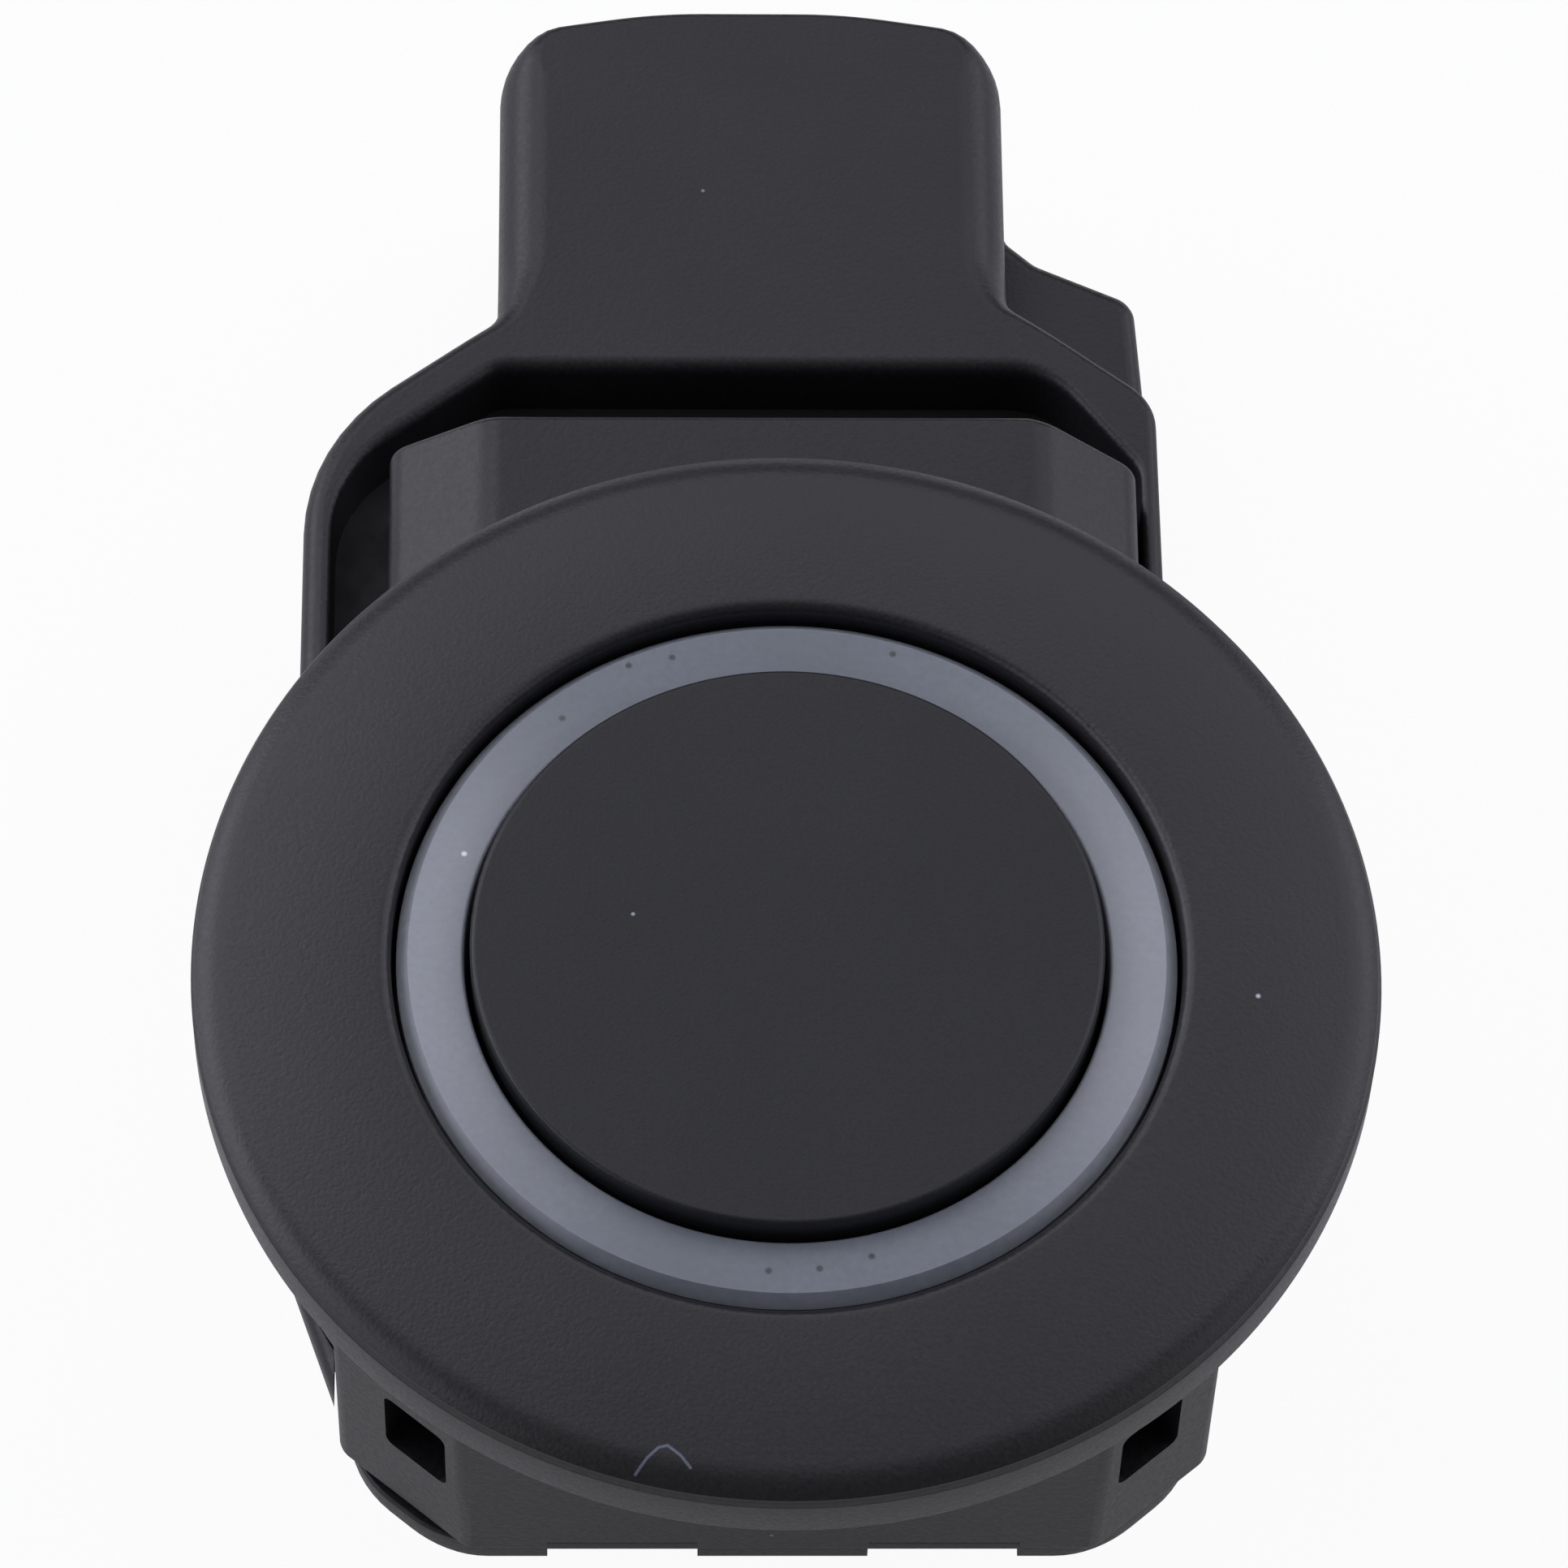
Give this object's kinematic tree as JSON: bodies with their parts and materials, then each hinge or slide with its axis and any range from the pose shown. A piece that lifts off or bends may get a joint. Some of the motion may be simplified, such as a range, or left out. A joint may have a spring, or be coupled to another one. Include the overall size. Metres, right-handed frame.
{
  "type": "parking sensor",
  "caption": "Ultrasonic parking sensor for a bumper: round sounding face in a grey ring and flanged bezel, on a flat plastic housing with a plug-in connector.",
  "frame": {"origin": "on the sounding axis, in the plane where the flange seats on the bumper skin", "axes": "+Z out of the sounding face, +Y towards the connector's mouth, +X to the right seen from the front"},
  "size_m": [0.0292, 0.0486, 0.018],
  "materials": {
    "black_plastic": "fine matte grain",
    "face_lacquer": "matte black lacquer on an aluminium cup",
    "grey_silicone": "smooth, slightly dull",
    "white_silicone": "dull",
    "damping_foam": "dull",
    "ceramic": "fired ceramic with silvered faces",
    "seal_rubber": "dull",
    "wire_red": "insulated wire",
    "wire_black": "insulated wire",
    "board_green": "solder resist on glass laminate",
    "chip_black": "moulded resin",
    "ferrite": "ground ferrite",
    "bobbin_plastic": "moulded",
    "copper": "enamelled copper wire",
    "can_aluminium": "bright can",
    "cap_ceramic": "fired ceramic",
    "tinned_brass": "tinned"
  },
  "bodies": {
    "root": {"bezel": "black_plastic", "decoupling_ring": "grey_silicone", "transducer_cup": "face_lacquer", "piezo_disc": "ceramic", "damping_pad": "damping_foam", "cup_backing": "white_silicone", "retaining_ring": "black_plastic", "signal_lead": "wire_red", "ground_lead": "wire_black", "front_housing": "black_plastic", "rear_housing": "black_plastic", "housing_seal": "seal_rubber", "circuit_board": "board_green", "control_chip": "chip_black", "transformer_core": "ferrite", "transformer_bobbin": "bobbin_plastic", "transformer_winding": "copper", "storage_capacitor": "can_aluminium", "chip_capacitors": "cap_ceramic", "chip_resistors": "chip_black", "clamp_diode": "chip_black", "terminal_supply": "tinned_brass", "terminal_signal": "tinned_brass", "terminal_ground": "tinned_brass"}
  },
  "joints": []
}
